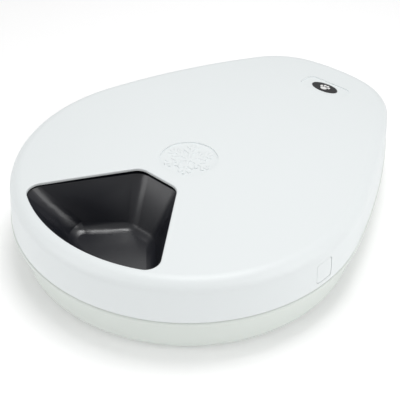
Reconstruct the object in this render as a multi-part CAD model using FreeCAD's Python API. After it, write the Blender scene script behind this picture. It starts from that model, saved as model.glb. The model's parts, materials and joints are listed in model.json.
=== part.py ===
"""Automatic pet feeder: five-meal turning tray under a lift-off lid, battery driven.

Everything is modelled about the tray axis, with the floor at z = 0, the narrow
control end towards +Y and the feeding window towards -Y.  save() then moves each
piece by AXIS_Y, which puts the origin under the middle of the footprint.
"""
import FreeCAD, Part
import os
from math import atan2, cos, hypot, pi, radians, sin, sqrt, tan

from FreeCAD import Vector

# ---- body outline, at the lid's lower rim (mm) --------------------------------------
LID_R = 160.0            # round end, about the tray axis
TIP_Y = 244.0            # narrow end, measured from the tray axis
END_R = 187.3            # shallow arc across the narrow end
CORNER_R = 78.7          # corners of the narrow end
CORNER_X = 17.8          # half the distance between the two corner centres
SIDE_R = 706.0           # long shallow arcs of the sides
AXIS_Y = -(TIP_Y - LID_R) / 2

# ---- heights ---------------------------------------------------------------------
FOOT_H = 2.5             # rubber feet below the base
BEAD_Z0 = 37.0           # rounded bead around the base, just under the seam
BEAD_Z1 = 41.3
SEAM = 0.5               # dark parting line between bead and lid
LID_Z = BEAD_Z1 + SEAM
TOP_Z = 81.5             # crown of the lid, on the tray axis

# ---- lid ---------------------------------------------------------------------------
LID_WALL = 2.5
LID_RIM = 0.8            # the lid's rim stands this far inside the bead below it
LID_DRAFT = 3.4          # and its wall leans in this much more over its height
CROWN_R = 4700.0         # the top is a very shallow dome
TOP_FILLET = 11.3
WINDOW_HALF = radians(34.6)
WINDOW_OUT = 143.9       # outer arc of the feeding window
WINDOW_IN = 37.7         # its straight inner edge, from the tray axis
WINDOW_SIDE = 3.7        # its sides stand this far inside the rays at WINDOW_HALF
WINDOW_R_OUT = 12.0
WINDOW_R_IN = 13.0
WINDOW_EDGE = 1.1        # rounding of the window's upper edge
FLAKE_R = 26.2           # round recess with the snow crystal
FLAKE_DEPTH = 1.2
BADGE_AT = (14.5, 191.0)
BADGE_RECESS = (50.0, 24.0)
BADGE_DEPTH = 0.9
BADGE_OVAL = (29.0, 15.5)

# ---- lid release buttons -----------------------------------------------------------
BUTTON_Y = -14.0
BUTTON_W = 17.0
BUTTON_Z = (46.3, 64.6)
BUTTON_GAP = 0.4

# ---- base --------------------------------------------------------------------------
BASE_WALL = 2.5
BASE_INSET_TOP = 6.5     # base wall inside the rim outline, under the bead
BASE_INSET_LOW = 8.0     # and at the bottom
BASE_FILLET = 9.0
FOOT_R = 8.0
FEET = [(66.0, 182.0), (-66.0, 182.0), (124.0, 32.0), (-124.0, 32.0), (84.0, -97.0), (-84.0, -97.0)]
HOUSING_SCREWS = [(100.0, -62.0), (-100.0, -62.0), (0.0, -128.0), (96.0, 78.0), (-96.0, 78.0),
                  (62.0, 198.0), (-62.0, 198.0)]

# ---- deck: the inner housing that carries tray, drive and controls -------------------
DECK_FLANGE_INSET = 4.2
DECK_T = 2.0
BASIN_R = 146.4          # inside of the round basin
BASIN_WALL = 1.8
BASIN_FLOOR = 20.0
BASIN_TOP = 62.0
TURRET_R_LOW = 47.0      # raised centre that houses the motor
TURRET_R_TOP = 43.4
TURRET_TOP = 50.0
CONSOLE_Y = 126.0        # the console fills the narrow end beyond this line
CONSOLE_INSET = 14.0
CONSOLE_TOP = 64.0

# ---- food tray -----------------------------------------------------------------------
MEALS = 5
TRAY_R = 149.4
TRAY_TOP = 74.5
TRAY_T = 1.6
TRAY_SKIRT = 7.0
CUP_DEPTH = 43.5
CUP_MARGIN = 1.8         # a cup's mouth is this much larger than the window all round
CUP_LOW_HALF = radians(48.5)
CUP_LOW_OUT = 115.6      # the window's measures again, at the bottom of a cup
CUP_LOW_IN = 60.3
CUP_LOW_SIDE = 37.2
CUP_LOW_R = 13.0
CUP_FILLET = 9.5
CUP_EDGE = 0.8           # rounding of the tray's upper edges

# ---- drive ---------------------------------------------------------------------------
MODULE = 1.5
OUTPUT_TEETH = 40
IDLER_SMALL = 14
IDLER_LARGE = 30
PINION_TEETH = 12
PRESSURE = radians(25)
ADDENDUM = 0.8
DEDENDUM = 1.05
BACKLASH = 0.28
IDLER_DIST = MODULE * (OUTPUT_TEETH + IDLER_SMALL) / 2
PINION_DIST = MODULE * (IDLER_LARGE + PINION_TEETH) / 2
MOTOR_DIST = 26.5        # motor axis from the tray axis
IDLER_ANGLE = -pi / 2
GEAR_Z0 = 6.6            # output gear and small idler wheel
GEAR_H = 5.2
GEAR2_Z0 = 12.3          # large idler wheel and pinion
GEAR2_H = 4.5
SHAFT_R = 5.0
JOURNAL_R = 3.0
AXLE_R = 2.0
MOTOR_R = 12.2
MOTOR_H = 26.0
RUN_FIT = 0.05           # radial running clearance
MAGNET_RING = 20.0       # radius at which the five index magnets sit
HUB_FLAT = 21.8          # centre to flat of the five-sided hub head
HUB_Z = (51.2, TRAY_TOP - TRAY_T - 0.1)
HUB_FIT = 0.35

# ---- batteries: four C cells in two rows ----------------------------------------------
CELL_R = 13.1
CELL_L = 50.0
CELL_ROWS = (172.5, 200.0)
CELL_Z = FOOT_H + BASE_WALL + 0.6 + CELL_R
BAY_X = 54.0             # half length of the bay inside
BAY_Y = (155.0, 214.5)
BAY_TOP = 34.0
BAY_WALL = 2.0
DOOR_Y = (159.0, 213.6)
DOOR_X = 53.0
DOOR_GAP = 0.35

# ---- control panel ---------------------------------------------------------------------
PANEL_T = 2.0
LCD_AT = 202.0
LCD_SIZE = (52.0, 20.0)
KEY_Y = 172.0
KEY_X = (-42.0, -14.0, 14.0, 42.0)
KEY_NAMES = ("key_clock", "key_up", "key_down", "key_feed")
KEY_SIZE = (19.0, 10.0)
BOARD_Z = 55.0
BOARD_T = 1.6


# ======================= outlines and basic solids =====================================
def on_circle(centre, radius, angle, z=0.0):
    return Vector(centre[0] + radius * cos(angle), centre[1] + radius * sin(angle), z)


def arc(centre, radius, start, end, z):
    middle = (start + end) / 2
    points = [on_circle(centre, radius, angle, z) for angle in (start, middle, end)]
    return Part.Arc(*points).toShape()


def line(start, end):
    return Part.LineSegment(start, end).toShape()


def outline(inset, z):
    """The body outline, moved inwards: six tangent arcs about fixed centres."""
    end_c = (0.0, TIP_Y - END_R)
    corner_c = (CORNER_X, end_c[1] + sqrt((END_R - CORNER_R) ** 2 - CORNER_X ** 2))
    to_corner = hypot(*corner_c)
    near, far = SIDE_R - LID_R, SIDE_R - CORNER_R
    along = (near ** 2 - far ** 2 + to_corner ** 2) / (2 * to_corner)
    across = sqrt(near ** 2 - along ** 2)
    ux, uy = corner_c[0] / to_corner, corner_c[1] / to_corner
    side_c = (ux * along - uy * across, uy * along + ux * across)
    if side_c[0] > 0:
        side_c = (ux * along + uy * across, uy * along - ux * across)
    side_low = atan2(-side_c[1], -side_c[0])
    side_high = atan2(corner_c[1] - side_c[1], corner_c[0] - side_c[0])
    corner_high = atan2(corner_c[1] - end_c[1], corner_c[0] - end_c[0])
    mirror_c = (-corner_c[0], corner_c[1])
    mirror_s = (-side_c[0], side_c[1])
    edges = [
        arc((0, 0), LID_R - inset, pi - side_low, 2 * pi + side_low, z),
        arc(side_c, SIDE_R - inset, side_low, side_high, z),
        arc(corner_c, CORNER_R - inset, side_high, corner_high, z),
        arc(end_c, END_R - inset, corner_high, pi - corner_high, z),
        arc(mirror_c, CORNER_R - inset, pi - corner_high, pi - side_high, z),
        arc(mirror_s, SIDE_R - inset, pi - side_high, pi - side_low, z),
    ]
    return Part.Wire(edges)


def prism(wire, height):
    return Part.Face(wire).extrude(Vector(0, 0, height))


def slab(inset, z0, z1):
    return prism(outline(inset, z0), z1 - z0)


def tapered(inset0, z0, inset1, z1):
    return Part.makeLoft([outline(inset0, z0), outline(inset1, z1)], True, True)


def cylinder(radius, z0, z1, at=(0.0, 0.0)):
    return Part.makeCylinder(radius, z1 - z0, Vector(at[0], at[1], z0))


def ring(outer, inner, z0, z1, at=(0.0, 0.0)):
    return cylinder(outer, z0, z1, at).cut(cylinder(inner, z0, z1, at))


def box(x0, x1, y0, y1, z0, z1):
    return Part.makeBox(x1 - x0, y1 - y0, z1 - z0, Vector(x0, y0, z0))


def rounded_box(size, at, z0, z1, radius):
    corner = Vector(at[0] - size[0] / 2, at[1] - size[1] / 2, z0)
    solid = Part.makeBox(size[0], size[1], z1 - z0, corner)
    upright = [e for e in solid.Edges if abs(e.Vertexes[0].Z - e.Vertexes[1].Z) > 0.9 * (z1 - z0)]
    return solid.makeFillet(radius, upright)


def edges_at(solid, z, tolerance=0.01):
    def level(edge):
        return abs(edge.BoundBox.ZMin - z) < tolerance and abs(edge.BoundBox.ZMax - z) < tolerance

    return [e for e in solid.Edges if level(e)]


def turned(shape, angle):
    copy = shape.copy()
    copy.rotate(Vector(0, 0, 0), Vector(0, 0, 1), angle)
    return copy


def mirrored(shape):
    return shape.mirror(Vector(0, 0, 0), Vector(1, 0, 0))


def sector(half, inner, outer, side, r_in, r_out, z):
    """A meal sector towards -Y: straight inner edge, round outer edge, soft corners.

    Its sides run side inwards of the two rays at the angle half.
    """
    along = Vector(sin(half), -cos(half), 0)
    inward = Vector(-cos(half), -sin(half), 0)
    c_out = inward * (side + r_out) + along * sqrt((outer - r_out) ** 2 - (side + r_out) ** 2)
    reach = (inner + r_in + inward.y * (side + r_in)) / -along.y
    c_in = inward * (side + r_in) + along * reach
    a_side = atan2(-inward.y, -inward.x)
    a_out = atan2(c_out.y, c_out.x)
    flip = -pi
    edges = [line(Vector(-c_in.x, -inner, z), Vector(c_in.x, -inner, z))]
    edges.append(arc(c_in, r_in, pi / 2, a_side, z))
    edges.append(line(on_circle(c_in, r_in, a_side, z), on_circle(c_out, r_out, a_side, z)))
    edges.append(arc(c_out, r_out, a_side, a_out, z))
    edges.append(arc((0, 0), outer, a_out, flip - a_out, z))
    left_in, left_out = (-c_in.x, c_in.y), (-c_out.x, c_out.y)
    edges.append(arc(left_out, r_out, flip - a_out, flip - a_side, z))
    edges.append(line(on_circle(left_out, r_out, flip - a_side, z), on_circle(left_in, r_in, flip - a_side, z)))
    edges.append(arc(left_in, r_in, flip - a_side, flip - pi / 2, z))
    return Part.Wire(edges)


def polygon(flat, count, z0, z1):
    """A regular prism with a flat towards -Y."""
    corner = flat / cos(pi / count)
    start = -pi / 2 - pi / count
    points = [on_circle((0, 0), corner, start + 2 * pi * i / count, z0) for i in range(count + 1)]
    return prism(Part.makePolygon(points), z1 - z0)


def screw(at, head_z, tip_z, head_r=2.8, shank_r=1.5, head_h=1.8):
    """A pan-head screw driven upwards, with a cross recess; head_z is the face under its head."""
    x, y = at
    solid = cylinder(head_r, head_z - head_h, head_z, at).fuse(cylinder(shank_r, head_z, tip_z, at))
    for half_x, half_y in ((1.6, 0.35), (0.35, 1.6)):
        solid = solid.cut(box(x - half_x, x + half_x, y - half_y, y + half_y, head_z - head_h, head_z - head_h + 1))
    return solid


# ======================= gears ==========================================================
def gear(teeth, z0, height, bore, phase):
    """An involute spur wheel with one tooth centred on the angle phase."""
    pitch_r = MODULE * teeth / 2
    base_r = pitch_r * cos(PRESSURE)
    tip_r = pitch_r + ADDENDUM * MODULE
    root_r = pitch_r - DEDENDUM * MODULE
    half_tooth = pi / (2 * teeth) - BACKLASH / (4 * pitch_r)
    at_pitch = tan(PRESSURE) - PRESSURE
    start_r = max(base_r, root_r + 0.05)
    steps = 5
    flank = []
    for i in range(steps + 1):
        r = start_r + (tip_r - start_r) * i / steps
        roll = sqrt(max(0.0, (r / base_r) ** 2 - 1))
        flank.append((r, half_tooth + at_pitch - (roll - atan2(roll, 1))))
    edges = []
    for k in range(teeth):
        middle = phase + 2 * pi * k / teeth
        rising = [on_circle((0, 0), r, middle - a, z0) for r, a in flank]
        falling = [on_circle((0, 0), r, middle + a, z0) for r, a in reversed(flank)]
        foot0 = on_circle((0, 0), root_r, middle - flank[0][1], z0)
        foot1 = on_circle((0, 0), root_r, middle + flank[0][1], z0)
        next_foot = on_circle((0, 0), root_r, middle + 2 * pi / teeth - flank[0][1], z0)
        valley = on_circle((0, 0), root_r, middle + pi / teeth, z0)
        crown = on_circle((0, 0), tip_r, middle, z0)
        edges.append(line(foot0, rising[0]))
        edges.append(spline(rising))
        edges.append(Part.Arc(rising[-1], crown, falling[0]).toShape())
        edges.append(spline(falling))
        edges.append(line(falling[-1], foot1))
        edges.append(Part.Arc(foot1, valley, next_foot).toShape())
    solid = prism(Part.Wire(edges), height)
    return solid.cut(cylinder(bore, z0, z0 + height))


def spline(points):
    curve = Part.BSplineCurve()
    curve.interpolate(points)
    return curve.toShape()


def moved(shape, at):
    copy = shape.copy()
    copy.translate(Vector(at[0], at[1], 0))
    return copy


def drive_places():
    """Idler and motor axes, from the two centre distances and the motor's own distance."""
    idler = (IDLER_DIST * cos(IDLER_ANGLE), IDLER_DIST * sin(IDLER_ANGLE))
    cosine = (IDLER_DIST ** 2 + MOTOR_DIST ** 2 - PINION_DIST ** 2) / (2 * IDLER_DIST * MOTOR_DIST)
    angle = IDLER_ANGLE + atan2(sqrt(1 - cosine ** 2), cosine)
    return idler, (MOTOR_DIST * cos(angle), MOTOR_DIST * sin(angle))


IDLER_AT, MOTOR_AT = drive_places()


# ======================= lid ============================================================
def dome(drop):
    """The ball whose upper side is the lid's top, sunk by drop."""
    return Part.makeSphere(CROWN_R - drop, Vector(0, 0, TOP_Z - CROWN_R), Vector(-1, 0, 0))


def sunk(block, bottom, top):
    """The layer of block between two depths under the lid's top."""
    return block.cut(dome(bottom)).common(dome(top))


def rib(length):
    """A raised bar along X with sloping sides, standing on the floor of the snow recess."""
    z0, z1 = TOP_Z - FLAKE_DEPTH - 0.2, TOP_Z - 0.25
    profile = [(-1.75, z0), (1.75, z0), (0.95, z1), (-0.95, z1), (-1.75, z0)]
    return prism_along_x([Vector(0, y, z) for y, z in profile], length)


def prism_along_x(points, length):
    return Part.Face(Part.makePolygon(points)).extrude(Vector(length, 0, 0))


def snow_crystal():
    """A six-armed crystal of raised ribs inside the round recess."""
    arm = rib(0.86 * FLAKE_R)
    for start, length in ((0.34, 0.30), (0.60, 0.24)):
        for way in (1, -1):
            twig = rib(length * FLAKE_R)
            twig.rotate(Vector(0, 0, 0), Vector(0, 0, 1), way * 52)
            twig.translate(Vector(start * FLAKE_R, 0, 0))
            arm = arm.fuse(twig)
    crystal = arm
    for k in range(1, 6):
        crystal = crystal.fuse(turned(arm, 60 * k))
    return crystal.removeSplitter()


def button_block(gap, x0, x1):
    """The button's outline as a block through the wall, gap larger all round."""
    z0, z1 = BUTTON_Z
    size = (x1 - x0, BUTTON_W + 2 * gap, z1 - z0 + 2 * gap)
    block = Part.makeBox(*size, Vector(x0, BUTTON_Y - size[1] / 2, z0 - gap))
    along = [e for e in block.Edges if abs(e.Vertexes[0].X - e.Vertexes[1].X) > 1]
    return block.makeFillet(2.6, along)


def on_window_rim(edge):
    """True for the upper edges of the window, which lie in the lid's domed top."""
    centre, bounds = edge.CenterOfMass, edge.BoundBox
    low = TOP_Z - hypot(centre.x, centre.y) ** 2 / (2 * CROWN_R) - 1.0
    return bounds.ZMin > low and bounds.YMax < 1 - WINDOW_IN and hypot(centre.x, centre.y) < WINDOW_OUT + 1


def lid_body(inset, drop, fillet):
    """A solid of the lid's shape, set in at the walls and sunk at the top."""
    body = tapered(LID_RIM + inset, LID_Z, LID_RIM + LID_DRAFT + inset, TOP_Z).common(dome(drop))
    return body.makeFillet(fillet, [e for e in body.Edges if e.BoundBox.ZMin > LID_Z + 20])


def lid_cover():
    lid = lid_body(0, 0, TOP_FILLET).cut(lid_body(LID_WALL, LID_WALL, TOP_FILLET - LID_WALL))
    window = sector(WINDOW_HALF, WINDOW_IN, WINDOW_OUT, WINDOW_SIDE, WINDOW_R_IN, WINDOW_R_OUT, TOP_Z - 8)
    lid = lid.cut(prism(window, 12))
    lid = lid.makeFillet(WINDOW_EDGE, [e for e in lid.Edges if on_window_rim(e)])
    lid = lid.cut(cylinder(FLAKE_R, TOP_Z - FLAKE_DEPTH, TOP_Z + 1)).fuse(snow_crystal())
    recess = rounded_box(BADGE_RECESS, BADGE_AT, TOP_Z - 12, TOP_Z + 1, 7.0)
    lid = lid.cut(recess.cut(dome(BADGE_DEPTH)))
    rest = box(LID_R - 9.4, LID_R - 3.0, -2.0, 2.0, BEAD_Z1 + DECK_T + 0.1, 58.0)
    for angle in (-60, 5, 175, 240):
        lid = lid.fuse(turned(rest, angle))
    lid = lid.fuse(box(-2.0, 2.0, TIP_Y - 9.4, TIP_Y - 3.0, BEAD_Z1 + DECK_T + 0.1, 58.0))
    for side in (1, -1):
        opening = button_block(BUTTON_GAP, 150.0, 165.0)
        lid = lid.cut(opening if side > 0 else mirrored(opening))
    return lid.removeSplitter()


def release_button():
    """Right-hand button: face flush with the wall, a retaining plate behind it and a latch hook below."""
    body = tapered(LID_RIM + 0.15, LID_Z, LID_RIM + LID_DRAFT + 0.15, TOP_Z)
    face = button_block(0, 152.2, 165.0).common(body)
    z0, z1 = BUTTON_Z
    y0, y1 = BUTTON_Y - BUTTON_W / 2, BUTTON_Y + BUTTON_W / 2
    plate = box(151.3, 152.4, y0 - 2.0, y1 + 2.0, z0, z1 + 0.5)
    for y in (BUTTON_Y - 6.0, BUTTON_Y + 6.0):
        arm = box(151.0, 152.4, y - 2.2, y + 2.2, 39.2, z0 + 2)
        hook = box(151.0, 153.6, y - 2.2, y + 2.2, 39.2, 40.8)
        plate = plate.fuse(arm).fuse(hook)
    return face.fuse(plate).removeSplitter()


def latch_spring():
    """A bowed steel leaf behind the right-hand button."""
    y0, y1 = BUTTON_Y - 9.0, BUTTON_Y + 9.0
    x0, bow, t = 149.5, 1.5, 0.25
    z0, z1 = 53.0, 58.0
    edges = [line(Vector(x0, y, z0), Vector(x0 + t, y, z0)) for y in (y0, y1)]
    for x in (x0, x0 + t):
        edges.append(Part.Arc(Vector(x, y0, z0), Vector(x + bow, BUTTON_Y, z0), Vector(x, y1, z0)).toShape())
    return prism(Part.Wire(Part.__sortEdges__(edges)), z1 - z0)


def badge_plate():
    ellipse = Part.Ellipse(Vector(BADGE_AT[0], BADGE_AT[1], TOP_Z - 12), BADGE_OVAL[0] / 2, BADGE_OVAL[1] / 2)
    plate = sunk(prism(Part.Wire(ellipse.toShape()), 13), BADGE_DEPTH, 0.4)
    return plate.cut(paw(0.12))


def paw(grow=0.0):
    """A plain paw: one large pad and four toes."""
    x, y = BADGE_AT
    pads = [(0.0, -1.9, 3.5, 2.6)]
    pads += [(side * dx, dy, 1.3, 1.7) for side in (1, -1) for dx, dy in ((4.3, 1.0), (1.6, 3.3))]
    solids = []
    for dx, dy, half_x, half_y in pads:
        big, small = max(half_x, half_y) + grow, min(half_x, half_y) + grow
        ellipse = Part.Ellipse(Vector(0, 0, 0), big, small)
        wire = Part.Wire(ellipse.toShape())
        if half_y > half_x:
            wire.rotate(Vector(0, 0, 0), Vector(0, 0, 1), 90)
        wire.translate(Vector(x + dx, y + dy, TOP_Z - 12))
        solids.append(sunk(prism(wire, 13), BADGE_DEPTH, 0.3))
    return Part.makeCompound(solids)


# ======================= base ===========================================================
def base_shell():
    z0 = FOOT_H
    outer = tapered(BASE_INSET_LOW, z0, BASE_INSET_TOP, BEAD_Z1)
    outer = outer.makeFillet(BASE_FILLET, edges_at(outer, z0))
    inner = tapered(BASE_INSET_LOW + BASE_WALL, z0 + BASE_WALL, BASE_INSET_TOP + BASE_WALL, BEAD_Z1)
    inner = inner.makeFillet(BASE_FILLET - BASE_WALL, edges_at(inner, z0 + BASE_WALL))
    bead = slab(0, BEAD_Z0, BEAD_Z1)
    bead = bead.makeFillet(1.9, edges_at(bead, BEAD_Z0) + edges_at(bead, BEAD_Z1))
    shell = outer.fuse(bead).cut(inner)
    half_x = BAY_X + BAY_WALL
    bay = box(-half_x, half_x, BAY_Y[0] - BAY_WALL, BAY_Y[1] + BAY_WALL, z0 + 1, BAY_TOP + BAY_WALL)
    shell = shell.fuse(bay.common(outer))
    shell = shell.cut(box(-BAY_X, BAY_X, *BAY_Y, z0 + BASE_WALL, BAY_TOP))
    shell = shell.cut(box(-DOOR_X, DOOR_X, *DOOR_Y, z0 - 1, z0 + BASE_WALL + 1))
    for at in HOUSING_SCREWS:
        shell = shell.fuse(cylinder(4.6, z0 + 0.5, 11.0, at).cut(cylinder(1.7, z0, 12.0, at)))
        shell = shell.cut(cylinder(3.3, z0 - 1, z0 + 2.6, at)).cut(cylinder(1.7, z0, 11.0, at))
    for at in FEET:
        shell = shell.cut(cylinder(FOOT_R + 0.1, z0 - 1, z0 + 0.9, at))
    shell = shell.fuse(cylinder(8.0, z0 + 1, 6.0).cut(cylinder(JOURNAL_R + RUN_FIT, 3.6, 7.0)))
    shell = shell.cut(cylinder(JOURNAL_R + RUN_FIT, 3.6, 7.0))
    shell = shell.fuse(cylinder(4.5, z0 + 1, 6.3, IDLER_AT)).cut(cylinder(AXLE_R, 3.6, 8.0, IDLER_AT))
    for side in (1, -1):
        pocket = box(148.2, 155.8, BUTTON_Y - 9.0, BUTTON_Y + 9.0, 38.4, BEAD_Z1 + 1)
        shell = shell.cut(pocket if side > 0 else mirrored(pocket))
    return shell.removeSplitter()


def foot(at):
    pad = cylinder(FOOT_R, 0.0, FOOT_H + 0.9, at)
    return pad.makeFillet(0.8, edges_at(pad, 0.0))


def battery_door():
    z0, z1 = FOOT_H, FOOT_H + BASE_WALL
    door = box(-DOOR_X + DOOR_GAP, DOOR_X - DOOR_GAP, DOOR_Y[0] + DOOR_GAP, DOOR_Y[1] - DOOR_GAP, z0, z1)
    upright = [e for e in door.Edges if abs(e.Vertexes[0].Z - e.Vertexes[1].Z) > 1]
    door = door.makeFillet(1.0, upright)
    for x in (-34.0, 34.0):
        tab = box(x - 6, x + 6, DOOR_Y[0] - 3.0, DOOR_Y[0] + 3.5, z1 + 0.3, z1 + 1.9)
        root = box(x - 6, x + 6, DOOR_Y[0] + 1.0, DOOR_Y[0] + 3.5, z1 - 0.5, z1 + 1.0)
        door = door.fuse(tab).fuse(root)
    for i in range(4):
        y = DOOR_Y[1] - 8.0 - 2.4 * i
        door = door.cut(box(-11.0, 11.0, y - 0.6, y + 0.6, z0 - 1, z0 + 0.7))
    snap = box(-7.0, 7.0, DOOR_Y[1] - 3.2, DOOR_Y[1] - 1.6, z1 - 0.5, z1 + 3.0)
    return door.fuse(snap).removeSplitter()


def battery_cell(x, y, way):
    """A C cell lying along X, positive end towards way."""
    can = Part.makeCylinder(CELL_R, CELL_L - 1.5, Vector(x, y, CELL_Z), Vector(way, 0, 0))
    can = can.makeFillet(0.8, [e for e in can.Edges if e.Closed])
    nub = Part.makeCylinder(3.2, 1.6, Vector(x + way * (CELL_L - 1.6), y, CELL_Z), Vector(way, 0, 0))
    return can.fuse(nub)


def battery_cells():
    cells = []
    for y, way in zip(CELL_ROWS, (1, -1)):
        for start in (-CELL_L, 0.0):
            cells.append(battery_cell(start * way, y, way))
    return Part.makeCompound(cells)


def battery_contacts():
    """A plate at both ends of each row."""
    plates = []
    for y in CELL_ROWS:
        for side in (1, -1):
            x = side * (BAY_X - 0.3)
            plates.append(box(x - 0.25, x + 0.25, y - 8.0, y + 8.0, CELL_Z - 9.0, CELL_Z + 9.0))
    return Part.makeCompound(plates)


def battery_springs():
    """A conical contact spring at the negative end of each row, its turns drawn as rings."""
    springs = []
    for y, way in zip(CELL_ROWS, (1, -1)):
        foot_x = -way * (BAY_X - 0.55)
        for i, radius in enumerate((6.5, 5.6, 4.7, 3.8)):
            at = Vector(foot_x + way * (0.5 + 0.75 * i), y, CELL_Z)
            springs.append(Part.makeTorus(radius, 0.42, at, Vector(1, 0, 0)))
    return Part.makeCompound(springs)


# ======================= deck ===========================================================
def deck():
    floor_z = BASIN_FLOOR - DECK_T
    out_r = BASIN_R + BASIN_WALL
    plate = slab(DECK_FLANGE_INSET, BEAD_Z1, BEAD_Z1 + DECK_T)
    console = slab(CONSOLE_INSET, BEAD_Z1, CONSOLE_TOP).common(box(-200, 200, CONSOLE_Y, 300, 0, 90))
    body = plate.fuse(console).fuse(cylinder(out_r, floor_z, BASIN_TOP))
    room = slab(CONSOLE_INSET + DECK_T, BEAD_Z1 - 1, CONSOLE_TOP - DECK_T)
    room = room.common(box(-200, 200, CONSOLE_Y + DECK_T, 300, 0, 90)).cut(cylinder(out_r, 0, 90))
    body = body.cut(cylinder(BASIN_R, BASIN_FLOOR, 90)).cut(room)
    turret = Part.makeCone(TURRET_R_LOW, TURRET_R_TOP, TURRET_TOP - floor_z, Vector(0, 0, floor_z))
    turret = turret.makeFillet(4.0, edges_at(turret, TURRET_TOP))
    cave = Part.makeCone(TURRET_R_LOW - DECK_T, TURRET_R_TOP - DECK_T, TURRET_TOP - DECK_T - BASIN_FLOOR,
                         Vector(0, 0, BASIN_FLOOR))
    body = body.fuse(turret).cut(cave)
    body = body.fuse(ring(11.0, 8.0, 40.0, TURRET_TOP))
    body = body.cut(cylinder(8.0, 30.0, 60.0)).cut(cylinder(SHAFT_R + 1.5, 10.0, 30.0))
    body = body.cut(cylinder(11.0, floor_z - 1, BASIN_FLOOR + 1, MOTOR_AT))
    body = body.cut(cylinder(AXLE_R, floor_z - 1, BASIN_FLOOR - 0.6, IDLER_AT))
    for at in HOUSING_SCREWS:
        under_console = hypot(*at) > BASIN_R
        top = CONSOLE_TOP - DECK_T if under_console else floor_z
        body = body.fuse(cylinder(4.0, 11.2, top + 0.5, at))
        body = body.cut(cylinder(1.45, 11.0, 24.0 if under_console else floor_z, at))
    for at in motor_screw_places():
        body = body.cut(cylinder(1.5, floor_z - 1, BASIN_FLOOR + 1, at))
    for side in (1, -1):
        slot = box(148.4, 153.95, BUTTON_Y - 9.0, BUTTON_Y + 9.0, BEAD_Z1 - 1, BEAD_Z1 + DECK_T + 1)
        body = body.cut(slot if side > 0 else mirrored(slot))
    body = body.cut(rounded_box(LCD_SIZE, (0, LCD_AT), 60, 70, 0.5))
    for x in KEY_X:
        body = body.cut(rounded_box((KEY_SIZE[0] - 4, KEY_SIZE[1] - 3), (x, KEY_Y), 60, 70, 1.5))
    for at in BOARD_SCREWS:
        body = body.fuse(cylinder(3.0, BOARD_Z + BOARD_T, CONSOLE_TOP - 1, at))
        body = body.cut(cylinder(1.1, BOARD_Z, CONSOLE_TOP - 2.5, at))
    return body.removeSplitter()


def motor_screw_places():
    return [(MOTOR_AT[0] + 8.5 * cos(a), MOTOR_AT[1] + 8.5 * sin(a)) for a in (radians(51), radians(231))]


# ======================= tray ===========================================================
def cup(wall, drop):
    """One meal cup as a solid block, wall larger than the room inside it."""
    low_z = TRAY_TOP - CUP_DEPTH - drop
    grow = CUP_MARGIN + wall
    top = sector(WINDOW_HALF, WINDOW_IN - grow, WINDOW_OUT + grow, WINDOW_SIDE - grow,
                 WINDOW_R_IN + grow, WINDOW_R_OUT + grow, TRAY_TOP)
    low = sector(CUP_LOW_HALF, CUP_LOW_IN - wall, CUP_LOW_OUT + wall, CUP_LOW_SIDE - wall,
                 CUP_LOW_R + wall, CUP_LOW_R + 2 + wall, low_z)
    block = Part.makeLoft([top, low], True, True)
    return block.makeFillet(CUP_FILLET + wall, edges_at(block, low_z))


def food_tray():
    tray = cylinder(TRAY_R, TRAY_TOP - TRAY_T, TRAY_TOP)
    tray = tray.fuse(ring(TRAY_R, TRAY_R - TRAY_T, TRAY_TOP - TRAY_SKIRT, TRAY_TOP))
    outside, inside = cup(TRAY_T, TRAY_T), cup(0.0, 0.0)
    for k in range(MEALS):
        tray = tray.fuse(turned(outside, 72 * k))
    for k in range(MEALS):
        tray = tray.cut(turned(inside, 72 * k))
    tray = tray.makeFillet(CUP_EDGE, edges_at(tray, TRAY_TOP))
    tray = tray.fuse(polygon(HUB_FLAT + HUB_FIT + 2.0, MEALS, 54.0, TRAY_TOP - 0.5))
    tray = tray.cut(polygon(HUB_FLAT + HUB_FIT, MEALS, 53.0, TRAY_TOP - TRAY_T))
    return tray.removeSplitter()


def ice_pack(side):
    """A crescent gel pack that lies in the basin under the tray."""
    pack = ring(142.0, 52.0, BASIN_FLOOR + 0.1, BASIN_FLOOR + 7.6)
    half = box(4.0, 150.0, -150.0, 150.0, 0, 90)
    pack = pack.common(half)
    upright = [e for e in pack.Edges if abs(e.BoundBox.ZLength - 7.5) < 0.01]
    pack = pack.makeFillet(9.0, upright)
    flat = edges_at(pack, BASIN_FLOOR + 0.1) + edges_at(pack, BASIN_FLOOR + 7.6)
    pack = pack.makeFillet(2.6, flat)
    return pack if side > 0 else mirrored(pack)


# ======================= drive ==========================================================
def drive_hub():
    head = polygon(HUB_FLAT, MEALS, *HUB_Z)
    head = head.makeFillet(1.5, edges_at(head, HUB_Z[1]))
    shaft = cylinder(SHAFT_R, GEAR_Z0, HUB_Z[0] + 5)
    journal = cylinder(JOURNAL_R, 3.8, GEAR_Z0 + 1)
    solid = head.fuse(shaft).fuse(journal)
    flat = box(SHAFT_R - 0.8, SHAFT_R + 1, -6, 6, GEAR_Z0 - 3.5, GEAR_Z0 + GEAR_H)
    return solid.cut(flat).removeSplitter()


def output_gear():
    wheel = gear(OUTPUT_TEETH, GEAR_Z0, GEAR_H, SHAFT_R + 0.02, IDLER_ANGLE)
    key = box(SHAFT_R - 0.78, SHAFT_R + 1.5, -4, 4, GEAR_Z0, GEAR_Z0 + GEAR_H)
    wheel = wheel.fuse(key)
    web = ring(25.0, 9.5, GEAR_Z0 + GEAR_H - 1.6, GEAR_Z0 + GEAR_H + 1)
    posts = Part.makeCompound([cylinder(3.2, GEAR_Z0, GEAR_Z0 + GEAR_H, at) for at in magnet_places()])
    wheel = wheel.cut(web).fuse(posts)
    for at in magnet_places():
        wheel = wheel.cut(cylinder(2.02, GEAR_Z0 + GEAR_H - 2.0, GEAR_Z0 + GEAR_H + 1, at))
    return wheel.removeSplitter()


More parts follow.
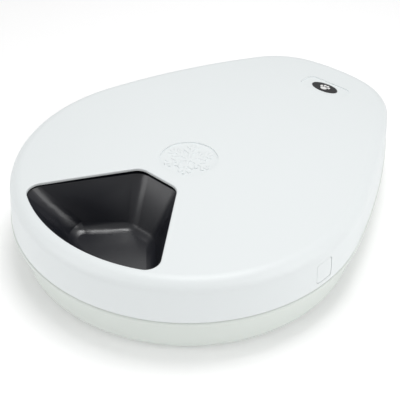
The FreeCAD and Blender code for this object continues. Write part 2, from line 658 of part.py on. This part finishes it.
def magnet_places():
    points = [on_circle((0, 0), MAGNET_RING, pi / 2 + 2 * pi * k / MEALS) for k in range(MEALS)]
    return [(p.x, p.y) for p in points]


def idler_gear():
    """Small wheel below in mesh with the output gear, large wheel above in mesh with the pinion."""
    gap = IDLER_ANGLE + pi + pi / IDLER_SMALL
    bore = AXLE_R + RUN_FIT
    small = gear(IDLER_SMALL, GEAR_Z0 - 0.1, GEAR2_Z0 - GEAR_Z0 + 0.2, bore, gap)
    large = gear(IDLER_LARGE, GEAR2_Z0, GEAR2_H, bore, pinion_line())
    return moved(small.fuse(large), IDLER_AT)


def pinion_line():
    """Direction from the idler axis to the motor axis."""
    return atan2(MOTOR_AT[1] - IDLER_AT[1], MOTOR_AT[0] - IDLER_AT[0])


def motor_pinion():
    gap = pinion_line() + pi + pi / PINION_TEETH
    return moved(gear(PINION_TEETH, GEAR2_Z0, GEAR2_H, 1.25, gap), MOTOR_AT)


def motor_shaft():
    return cylinder(1.25, GEAR2_Z0 - 0.1, BASIN_FLOOR + 6.0, MOTOR_AT)


def drive_motor():
    z0 = BASIN_FLOOR
    can = cylinder(MOTOR_R, z0, z0 + MOTOR_H, MOTOR_AT)
    can = can.makeFillet(1.2, edges_at(can, z0 + MOTOR_H))
    can = can.cut(cylinder(1.25 + RUN_FIT, z0 - 1, z0 + 6.2, MOTOR_AT))
    for at in motor_screw_places():
        can = can.cut(cylinder(1.22, z0 - 1, z0 + 3.5, at))
    return can


# ======================= controls =======================================================
BOARD_SCREWS = [(-30.0, 186.0), (30.0, 186.0), (0.0, 217.0)]


def control_panel():
    """A thin trim plate on the console, cut out for the screen and the keys."""
    z0, z1 = CONSOLE_TOP, CONSOLE_TOP + PANEL_T
    plate = slab(CONSOLE_INSET + 4, z0, z1).common(box(-200, 200, 158.0, 300, 0, 90))
    plate = plate.makeFillet(0.8, edges_at(plate, z1))
    plate = plate.cut(rounded_box(LCD_SIZE, (0, LCD_AT), z0 - 1, z1 + 1, 2.0))
    for x in KEY_X:
        plate = plate.cut(rounded_box(KEY_SIZE, (x, KEY_Y), z0 - 1, z1 + 1, 3.0))
    return plate


def key_cap(x):
    """A pill-shaped key with a stem down to its switch."""
    size = (KEY_SIZE[0] - 0.6, KEY_SIZE[1] - 0.6)
    cap = rounded_box(size, (x, KEY_Y), CONSOLE_TOP + 1.0, CONSOLE_TOP + PANEL_T + 1.4, 2.7)
    cap = cap.makeFillet(0.7, edges_at(cap, CONSOLE_TOP + PANEL_T + 1.4))
    stem_size = (KEY_SIZE[0] - 5, KEY_SIZE[1] - 4)
    stem = rounded_box(stem_size, (x, KEY_Y), BOARD_Z + BOARD_T + 3.2, CONSOLE_TOP + 1.5, 1.2)
    return cap.fuse(stem)


def lcd_lens():
    size = (LCD_SIZE[0] - 0.3, LCD_SIZE[1] - 0.3)
    return rounded_box(size, (0, LCD_AT), CONSOLE_TOP + 0.4, CONSOLE_TOP + PANEL_T - 0.2, 1.9)


def lcd_module():
    half_x, half_y = LCD_SIZE[0] / 2 - 0.5, LCD_SIZE[1] / 2 - 0.5
    return box(-half_x, half_x, LCD_AT - half_y, LCD_AT + half_y, CONSOLE_TOP - 4.0, CONSOLE_TOP - 0.1)


def circuit_board():
    board = rounded_box((106.0, 56.0), (0, 191.0), BOARD_Z, BOARD_Z + BOARD_T, 12.0)
    for at in BOARD_SCREWS:
        board = board.cut(cylinder(1.2, BOARD_Z - 1, BOARD_Z + 3, at))
    return board


def key_switches():
    top = BOARD_Z + BOARD_T
    switches = []
    for x in KEY_X:
        body = rounded_box((6.0, 6.0), (x, KEY_Y), top, top + 1.8, 0.5)
        switches.append(body.fuse(cylinder(1.6, top + 1.8, top + 2.2, (x, KEY_Y))))
    return Part.makeCompound(switches)


def sensor_board():
    """The small board that counts the five magnets as the output gear turns."""
    z1 = BASIN_FLOOR - DECK_T
    board = box(-8.0, 8.0, 14.0, 27.0, z1 - 1.2, z1)
    chip = box(-2.0, 2.0, 18.5, 21.5, z1 - 2.6, z1 - 1.2)
    return board.fuse(chip)


# ======================= everything, named ==============================================
def group(solids):
    return Part.makeCompound(list(solids))


def pieces():
    bush = ring(8.0, SHAFT_R + RUN_FIT, 41.0, TURRET_TOP + 0.2)
    seal = Part.makeTorus(SHAFT_R + 1.35, 0.5, Vector(0, 0, TURRET_TOP + 0.7), Vector(0, 0, 1))
    axle = cylinder(AXLE_R, 3.6, BASIN_FLOOR - 0.7, IDLER_AT)
    named = {
        "lid_cover": lid_cover(),
        "badge_plate": badge_plate(),
        "badge_paw": paw(),
        "lid_button_right": release_button(),
        "lid_button_left": mirrored(release_button()),
        "latch_spring_right": latch_spring(),
        "latch_spring_left": mirrored(latch_spring()),
        "base_shell": base_shell(),
        "rubber_feet": group(foot(at) for at in FEET),
        "housing_screws": group(screw(at, FOOT_H + 2.6, 22.0 if at[1] > 150 else 17.5, 2.9, 1.4)
                                for at in HOUSING_SCREWS),
        "battery_door": battery_door(),
        "battery_cells": battery_cells(),
        "battery_contacts": battery_contacts(),
        "battery_springs": battery_springs(),
        "deck": deck(),
        "food_tray": food_tray(),
        "ice_pack_right": ice_pack(1),
        "ice_pack_left": ice_pack(-1),
        "drive_hub": drive_hub(),
        "hub_bush": bush,
        "hub_seal": seal,
        "output_gear": output_gear(),
        "index_magnets": group(cylinder(2.0, GEAR_Z0 + GEAR_H - 2.0, GEAR_Z0 + GEAR_H, at)
                               for at in magnet_places()),
        "sensor_board": sensor_board(),
        "idler_gear": idler_gear(),
        "idler_axle": axle,
        "motor_pinion": motor_pinion(),
        "motor_shaft": motor_shaft(),
        "drive_motor": drive_motor(),
        "motor_screws": group(screw(at, BASIN_FLOOR - DECK_T, BASIN_FLOOR + 3.0, 2.2, 1.15, 1.2)
                              for at in motor_screw_places()),
        "control_panel": control_panel(),
        "lcd_lens": lcd_lens(),
        "lcd_module": lcd_module(),
        "circuit_board": circuit_board(),
        "key_switches": key_switches(),
        "board_screws": group(screw(at, BOARD_Z, BOARD_Z + 6.0, 2.0, 1.05, 1.3) for at in BOARD_SCREWS),
    }
    for name, x in zip(KEY_NAMES, KEY_X):
        named[name] = key_cap(x)
    return named


def save(name, shape):
    shape.translate(Vector(0, AXIS_Y, 0))
    if not shape.isValid():
        print("invalid shape:", name)
    shape.exportStep("parts/" + name + ".step")


os.makedirs("parts", exist_ok=True)
for piece_name, piece in pieces().items():
    save(piece_name, piece)
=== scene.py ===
"""Looks of the automatic pet feeder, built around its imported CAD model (metres, same frame)."""
import json
from math import cos, pi, radians, sin

import bpy
from mathutils import Matrix, Vector


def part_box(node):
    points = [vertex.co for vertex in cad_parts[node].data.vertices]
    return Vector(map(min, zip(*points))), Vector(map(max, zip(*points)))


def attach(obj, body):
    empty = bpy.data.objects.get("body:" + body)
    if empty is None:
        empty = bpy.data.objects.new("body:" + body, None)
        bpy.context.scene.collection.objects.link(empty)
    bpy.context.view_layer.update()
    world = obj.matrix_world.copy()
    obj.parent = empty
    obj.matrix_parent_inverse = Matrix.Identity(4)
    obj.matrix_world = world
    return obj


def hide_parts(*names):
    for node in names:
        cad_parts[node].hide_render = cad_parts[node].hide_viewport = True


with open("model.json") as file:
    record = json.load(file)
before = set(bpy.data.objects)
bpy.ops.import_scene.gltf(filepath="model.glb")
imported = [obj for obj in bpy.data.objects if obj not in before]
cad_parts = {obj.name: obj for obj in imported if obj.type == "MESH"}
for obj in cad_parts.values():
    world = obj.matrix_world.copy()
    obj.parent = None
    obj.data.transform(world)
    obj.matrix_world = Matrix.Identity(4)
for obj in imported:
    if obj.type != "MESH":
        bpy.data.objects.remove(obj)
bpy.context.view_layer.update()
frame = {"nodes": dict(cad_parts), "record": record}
nodes = frame["nodes"]
MM = 0.001

# ---- the view ---------------------------------------------------------------------
VIEW_AZIMUTH = 41.03
VIEW_ELEVATION = 38.32
VIEW_DISTANCE = 0.742
VIEW_ROLL = 0.72
AIM = Vector((-0.0031, -0.0226, 0.0216))
LENS = 70.46


# ======================= material building blocks =======================================
class Material:
    """A Principled material with helpers that add one layer of detail at a time."""

    def __init__(self, name, colour, roughness, metallic=0.0, specular=0.5):
        self.material = bpy.data.materials.new(name)
        self.material.use_nodes = True
        self.tree = self.material.node_tree
        self.shader = self.tree.nodes["Principled BSDF"]
        self.shader.inputs["Base Color"].default_value = (*colour, 1)
        self.shader.inputs["Roughness"].default_value = roughness
        self.shader.inputs["Metallic"].default_value = metallic
        self.shader.inputs["Specular IOR Level"].default_value = specular
        self.coords = self.node("ShaderNodeTexCoord").outputs["Object"]
        self.bump_from = None

    def node(self, kind, **inputs):
        node = self.tree.nodes.new(kind)
        for key, value in inputs.items():
            node.inputs[key.replace("_", " ")].default_value = value
        return node

    def link(self, out, into):
        self.tree.links.new(out, into)

    def noise(self, scale, detail=3.0, stretch=(1, 1, 1), roughness=0.5):
        mapping = self.node("ShaderNodeMapping")
        mapping.inputs["Scale"].default_value = stretch
        self.link(self.coords, mapping.inputs["Vector"])
        noise = self.node("ShaderNodeTexNoise", Scale=scale, Detail=detail, Roughness=roughness)
        self.link(mapping.outputs["Vector"], noise.inputs["Vector"])
        return noise.outputs["Fac"]

    def remap(self, value, low, high, to_low, to_high):
        ramp = self.node("ShaderNodeMapRange")
        for key, number in zip(("From Min", "From Max", "To Min", "To Max"), (low, high, to_low, to_high)):
            ramp.inputs[key].default_value = number
        self.link(value, ramp.inputs["Value"])
        return ramp.outputs["Result"]

    def tint(self, mask, colour, amount):
        """Mixes colour over what the base colour is now, where mask is high."""
        mix = self.node("ShaderNodeMix")
        mix.data_type = "RGBA"
        socket = self.shader.inputs["Base Color"]
        if socket.links:
            self.link(socket.links[0].from_socket, mix.inputs[6])
        else:
            mix.inputs[6].default_value = socket.default_value
        mix.inputs[7].default_value = (*colour, 1)
        self.link(self.remap(mask, 0.3, 0.7, 0.0, amount), mix.inputs["Factor"])
        self.link(mix.outputs[2], socket)
        return self

    def vary_roughness(self, mask, low, high):
        self.link(self.remap(mask, 0.3, 0.7, low, high), self.shader.inputs["Roughness"])
        return self

    def bump(self, height, strength, distance):
        bump = self.node("ShaderNodeBump", Strength=strength, Distance=distance)
        self.link(height, bump.inputs["Height"])
        if self.bump_from:
            self.link(self.bump_from, bump.inputs["Normal"])
        self.bump_from = bump.outputs["Normal"]
        self.link(self.bump_from, self.shader.inputs["Normal"])
        return self

    def scratches(self, strength):
        """Very fine hairlines, as wiping leaves on plastic."""
        fine = self.noise(900, 2, (1.0, 0.04, 1.0))
        return self.bump(fine, strength, 0.00004)


def moulded(name, colour, roughness, grain=0.08, shade=0.03):
    """Injection-moulded plastic: fine satin grain, slight tone and gloss variation."""
    m = Material(name, colour, roughness)
    darker = tuple(c * 0.93 for c in colour)
    m.tint(m.noise(9, 4), darker, shade)
    m.vary_roughness(m.noise(35, 5), roughness - 0.04, roughness + 0.05)
    m.bump(m.noise(2600, 2), grain, 0.00003)
    m.bump(m.noise(18, 2), 0.05, 0.0004)
    return m


def white_plastic():
    return moulded("white_plastic_look", (0.775, 0.81, 0.815), 0.42).material


# Painted shade: a darker, greener copy of the white plastic, darkened to stand in for the base being lit
# less under the lid's overhang.
def base_plastic():
    return moulded("base_plastic_look", (0.705, 0.745, 0.71), 0.45, grain=0.12).material


def tray_black():
    m = moulded("tray_black_look", (0.010, 0.011, 0.016), 0.31, grain=0.10)
    m.shader.inputs["Specular IOR Level"].default_value = 0.85
    m.scratches(0.08)
    return m.material


def deck_grey():
    return moulded("deck_grey_look", (0.62, 0.63, 0.63), 0.5, grain=0.15).material


def badge_black():
    return moulded("badge_black_look", (0.012, 0.012, 0.013), 0.30, grain=0.03).material


def badge_white():
    return moulded("badge_white_look", (0.78, 0.78, 0.77), 0.38).material


def rubber():
    m = moulded("rubber_look", (0.03, 0.03, 0.03), 0.72, grain=0.3)
    m.tint(m.noise(60, 4), (0.09, 0.085, 0.08), 0.35)
    return m.material


def metal(name, colour, roughness, stretch=(1, 1, 14)):
    m = Material(name, colour, roughness, metallic=1.0)
    brushed = m.noise(420, 3, stretch)
    m.vary_roughness(brushed, roughness - 0.07, roughness + 0.10)
    m.bump(brushed, 0.12, 0.00003)
    m.tint(m.noise(24, 4), tuple(c * 0.8 for c in colour), 0.25)
    return m.material


def gel_blue():
    m = moulded("gel_blue_look", (0.16, 0.40, 0.62), 0.28, grain=0.05, shade=0.25)
    m.shader.inputs["Subsurface Weight"].default_value = 0.15
    m.shader.inputs["Subsurface Scale"].default_value = 0.004
    m.bump(m.noise(28, 2), 0.25, 0.0012)
    return m.material


def cell_jacket():
    """Printed foil jacket of a cell: dark, with a slight metallic sheen."""
    m = Material("cell_jacket_look", (0.035, 0.04, 0.05), 0.30, metallic=0.4)
    m.tint(m.noise(50, 2), (0.08, 0.085, 0.095), 0.3)
    m.vary_roughness(m.noise(80, 4), 0.22, 0.38)
    m.bump(m.noise(300, 2), 0.05, 0.00005)
    return m.material


def board_green():
    m = Material("board_green_look", (0.015, 0.12, 0.05), 0.35)
    cells = m.node("ShaderNodeTexVoronoi", Scale=260)
    cells.feature = "DISTANCE_TO_EDGE"
    m.link(m.coords, cells.inputs["Vector"])
    traces = m.remap(cells.outputs["Distance"], 0.02, 0.08, 1.0, 0.0)
    m.tint(traces, (0.04, 0.22, 0.09), 0.8)
    m.bump(traces, 0.3, 0.00004)
    m.vary_roughness(m.noise(90, 3), 0.28, 0.42)
    return m.material


def lcd_grey():
    m = Material("lcd_grey_look", (0.36, 0.41, 0.33), 0.25)
    m.tint(m.noise(14, 2), (0.30, 0.35, 0.28), 0.4)
    m.vary_roughness(m.noise(60, 3), 0.2, 0.3)
    m.bump(m.noise(2200, 1), 0.05, 0.00002)
    return m.material


def lens_clear():
    m = Material("lens_clear_look", (0.95, 0.97, 0.97), 0.04)
    m.shader.inputs["Transmission Weight"].default_value = 1.0
    m.shader.inputs["IOR"].default_value = 1.49
    m.vary_roughness(m.noise(200, 3), 0.02, 0.07)
    m.bump(m.noise(500, 2), 0.02, 0.00002)
    return m.material


def panel_dark():
    return moulded("panel_dark_look", (0.035, 0.036, 0.04), 0.5, grain=0.35).material


def key_white():
    return moulded("key_white_look", (0.74, 0.75, 0.75), 0.42, grain=0.15).material


LOOKS = {
    "white_plastic": white_plastic(),
    # base_plastic: the white plastic darkened as painted shade for the base shell and battery door
    "base_plastic": base_plastic(),
    "tray_black": tray_black(),
    "deck_grey": deck_grey(),
    "badge_black": badge_black(),
    "badge_white": badge_white(),
    "rubber": rubber(),
    "steel": metal("steel_look", (0.55, 0.56, 0.57), 0.34),
    "spring_steel": metal("spring_steel_look", (0.68, 0.68, 0.67), 0.24),
    "brass": metal("brass_look", (0.72, 0.52, 0.22), 0.3),
    "acetal": moulded("acetal_look", (0.78, 0.77, 0.71), 0.36, grain=0.05).material,
    "gel_blue": gel_blue(),
    "cell_jacket": cell_jacket(),
    "board_green": board_green(),
    "lcd_grey": lcd_grey(),
    "lens_clear": lens_clear(),
    "panel_dark": panel_dark(),
    "key_white": key_white(),
}


def dress_cad_nodes():
    """Gives every CAD node the look of its material slot; the base shell and battery door get the darker
    base plastic instead, whose darkening is painted shade.
    """
    for part in frame["record"]["subparts"]:
        obj = nodes[part["node"]]
        obj.data.materials.clear()
        look = "base_plastic" if part["node"] in ("base_shell", "battery_door") else part["material_slot"]
        obj.data.materials.append(LOOKS[look])


# ======================= small pieces that CAD leaves plain =============================
def mesh_piece(name, vertices, faces, look, body, smooth=False):
    mesh = bpy.data.meshes.new(name)
    mesh.from_pydata(vertices, [], faces)
    mesh.update()
    for polygon in mesh.polygons:
        polygon.use_smooth = smooth
    obj = bpy.data.objects.new(name, mesh)
    bpy.context.scene.collection.objects.link(obj)
    obj.data.materials.append(look)
    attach(obj, body)
    return obj


def plate(vertices, faces, points, z0, z1):
    """Adds a flat prism over a loop of (x, y) points."""
    first, count = len(vertices), len(points)
    vertices += [(x, y, z0) for x, y in points] + [(x, y, z1) for x, y in points]
    faces.append([first + count + i for i in range(count)])
    faces.append([first + i for i in reversed(range(count))])
    for i in range(count):
        j = (i + 1) % count
        faces.append([first + i, first + j, first + count + j, first + count + i])


def contact_springs():
    """Two conical helices, one at the negative end of each row of cells."""
    low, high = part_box("battery_springs")
    outer = (high[2] - low[2]) / 2
    wire = 0.42 * MM
    turns, steps = 4, 24
    taper = 0.42
    middle_z = (high[2] + low[2]) / 2
    curve = bpy.data.curves.new("contact_spring_coils", "CURVE")
    curve.dimensions = "3D"
    curve.bevel_depth = wire
    curve.bevel_resolution = 4
    length = 3.09 * MM - 2 * wire
    for start, way, y in ((low[0], 1, low[1] + outer), (high[0], -1, high[1] - outer)):
        spline = curve.splines.new("NURBS")
        spline.points.add(turns * steps)
        for i, point in enumerate(spline.points):
            part = i / (turns * steps)
            radius = (outer - wire) * (1 - taper * part)
            angle = 2 * pi * turns * part
            x = start + way * (wire + length * part)
            point.co = (x, y + radius * cos(angle), middle_z + radius * sin(angle), 1)
        spline.order_u = 4
        spline.use_endpoint_u = True
    obj = bpy.data.objects.new("contact_spring_coils", curve)
    bpy.context.scene.collection.objects.link(obj)
    curve.materials.append(LOOKS["spring_steel"])
    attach(obj, "housing")
    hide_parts("battery_springs")


def cell_bands():
    """A copper band round the positive end of each of the four cells."""
    low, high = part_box("battery_cells")
    radius = (high[2] - low[2]) / 2
    middle_z = (high[2] + low[2]) / 2
    vertices, faces = [], []
    steps = 64
    band, back, proud = 11 * MM, 14 * MM, 0.06 * MM
    reach = high[0] - 0.1 * MM
    rows = (
        (low[1] + radius, (reach - back, -back)),
        (high[1] - radius, (back - reach, back)),
    )
    for y, ends in rows:
        way = 1 if ends[0] > 0 else -1
        for x0 in ends:
            first = len(vertices)
            for x in (x0, x0 + way * band):
                for i in range(steps):
                    angle = 2 * pi * i / steps
                    r = radius + proud
                    vertices.append((x, y + r * cos(angle), middle_z + r * sin(angle)))
            for i in range(steps):
                j = (i + 1) % steps
                faces.append([first + i, first + j, first + steps + j, first + steps + i])
    mesh_piece("cell_bands", vertices, faces, LOOKS["brass"], "housing", smooth=True)


SEGMENTS = {"0": "abcdef", "1": "bc", "2": "abdeg", "3": "abcdg"}


def seven_segments(vertices, faces, digit, x, y, width, height, z0, z1):
    """One digit of a segment display, drawn as slanted-end bars."""
    t, gap = height * 0.11, height * 0.02
    half = height / 2
    bars = {
        "a": (x, y + half, True), "g": (x, y, True), "d": (x, y - half, True),
        "f": (x - width / 2, y + half / 2, False), "b": (x + width / 2, y + half / 2, False),
        "e": (x - width / 2, y - half / 2, False), "c": (x + width / 2, y - half / 2, False),
    }
    for name in SEGMENTS[digit]:
        bx, by, level = bars[name]
        reach = (width / 2 if level else half / 2) - gap
        profile = [(-reach, 0), (-reach + t / 2, t / 2), (reach - t / 2, t / 2),
                   (reach, 0), (reach - t / 2, -t / 2), (-reach + t / 2, -t / 2)]
        points = [(bx + u, by + v) if level else (bx - v, by + u) for u, v in profile]
        plate(vertices, faces, points, z0, z1)


def disc(x, y, radius, steps=32):
    angles = [2 * pi * i / steps for i in range(steps)]
    return [(x + radius * cos(angle), y + radius * sin(angle)) for angle in angles]


def display():
    """The clock and the meal counter on the screen."""
    low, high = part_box("lcd_module")
    x, y = (low[0] + high[0]) / 2, (low[1] + high[1]) / 2
    z0, z1 = high[2] + 0.02 * MM, high[2] + 0.12 * MM
    vertices, faces = [], []
    for digit, place in zip("1200", (-19.5, -12.0, -1.0, 6.5)):
        seven_segments(vertices, faces, digit, x + place * MM, y, 4.6 * MM, 10.5 * MM, z0, z1)
    for up in (-2.6, 2.6):
        plate(vertices, faces, disc(x - 6.5 * MM, y + up * MM, 0.6 * MM, 16), z0, z1)
    seven_segments(vertices, faces, "3", x + 18.5 * MM, y - 2.0 * MM, 3.2 * MM, 6.5 * MM, z0, z1)
    plate(vertices, faces, disc(x + 18.5 * MM, y + 5.5 * MM, 1.1 * MM), z0, z1)
    mesh_piece("display_digits", vertices, faces, LOOKS["panel_dark"], "housing")


def ring_plates(vertices, faces, x, y, outer, inner, z0, z1, steps=40):
    for i in range(steps):
        a, b = 2 * pi * i / steps, 2 * pi * (i + 1) / steps
        corners = ((inner, a), (outer, a), (outer, b), (inner, b))
        plate(vertices, faces, [(x + r * cos(t), y + r * sin(t)) for r, t in corners], z0, z1)


def key_icons():
    """A plain icon on each key: clock, up, down and bowl."""
    for name in ("key_clock", "key_up", "key_down", "key_feed"):
        low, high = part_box(name)
        x, y = (low[0] + high[0]) / 2, (low[1] + high[1]) / 2
        z0, z1 = high[2] - 0.05 * MM, high[2] + 0.08 * MM
        vertices, faces = [], []
        u = MM
        if name == "key_clock":
            ring_plates(vertices, faces, x, y, 2.7 * u, 2.2 * u, z0, z1)
            plate(vertices, faces, [(x - 0.25 * u, y), (x + 0.25 * u, y), (x + 0.25 * u, y + 1.7 * u),
                                    (x - 0.25 * u, y + 1.7 * u)], z0, z1)
            plate(vertices, faces, [(x + 0.25 * u, y - 0.25 * u), (x + 1.5 * u, y - 0.25 * u),
                                    (x + 1.5 * u, y + 0.25 * u), (x + 0.25 * u, y + 0.25 * u)], z0, z1)
        elif name == "key_feed":
            plate(vertices, faces, [(x - 2.6 * u, y + 0.4 * u), (x - 1.7 * u, y - 2.0 * u),
                                    (x + 1.7 * u, y - 2.0 * u), (x + 2.6 * u, y + 0.4 * u)], z0, z1)
            for dx in (-1.5, 0.0, 1.5):
                plate(vertices, faces, disc(x + dx * u, y + 1.4 * u, 0.6 * u, 20), z0, z1)
        else:
            way = 1 if name == "key_up" else -1
            foot, tip = y - way * 1.5 * u, y + way * 2.2 * u
            points = [(x - 2.4 * u, foot), (x + 2.4 * u, foot), (x, tip)]
            plate(vertices, faces, points if way > 0 else points[::-1], z0, z1)
        mesh_piece(name + "_icon", vertices, faces, LOOKS["panel_dark"], name)


# ======================= light, floor and camera ========================================
def area_light(name, place, aim, size, watts):
    light = bpy.data.lights.new(name, "AREA")
    light.shape = "RECTANGLE"
    light.size, light.size_y = size
    light.energy = watts
    obj = bpy.data.objects.new(name, light)
    bpy.context.scene.collection.objects.link(obj)
    obj.location = place
    obj.rotation_euler = (Vector(aim) - Vector(place)).to_track_quat("-Z", "Y").to_euler()


def studio():
    bpy.ops.mesh.primitive_plane_add(size=12, location=(0, 0, 0))
    floor = bpy.context.object
    floor.name = "floor"
    m = Material("floor_look", (0.97, 0.97, 0.97), 0.9)
    m.tint(m.noise(2, 2), (0.95, 0.95, 0.95), 0.3)
    m.shader.inputs["Emission Color"].default_value = (1, 1, 1, 1)
    m.shader.inputs["Emission Strength"].default_value = 0.10
    floor.data.materials.append(m.material)
    world = bpy.data.worlds.new("studio")
    bpy.context.scene.world = world
    world.use_nodes = True
    background = world.node_tree.nodes["Background"]
    background.inputs["Color"].default_value = (1, 1, 1, 1)
    background.inputs["Strength"].default_value = 0.43
    area_light("top", (0.0, 0.1, 1.25), (0, 0, 0), (0.5, 0.5), 6.6)
    area_light("right", (1.2, 0.1, 0.5), (0, 0, 0.03), (0.9, 0.9), 5.0)
    area_light("front", (-0.5, -1.25, 0.5), (0, 0, 0.03), (0.9, 0.9), 4.6)
    area_light("back_left", (-0.62, 0.75, 1.2), (-0.03, -0.1, 0.04), (0.9, 0.9), 1.6)


def camera():
    data = bpy.data.cameras.new("camera")
    data.lens = LENS
    data.sensor_width = 36
    data.clip_start = 0.01
    obj = bpy.data.objects.new("camera", data)
    bpy.context.scene.collection.objects.link(obj)
    azimuth, elevation = radians(VIEW_AZIMUTH), radians(VIEW_ELEVATION)
    back = Vector((sin(azimuth) * cos(elevation), -cos(azimuth) * cos(elevation), sin(elevation)))
    right = Vector((cos(azimuth), sin(azimuth), 0))
    turn = Matrix.Rotation(radians(VIEW_ROLL), 3, back)
    x = turn @ right
    y = back.cross(x)
    obj.matrix_world = Matrix((
        (x.x, y.x, back.x, 0), (x.y, y.y, back.y, 0), (x.z, y.z, back.z, 0), (0, 0, 0, 1)))
    obj.location = AIM + back * VIEW_DISTANCE
    bpy.context.scene.camera = obj


bpy.context.scene.view_settings.view_transform = "Standard"
dress_cad_nodes()
contact_springs()
cell_bands()
display()
key_icons()
studio()
camera()
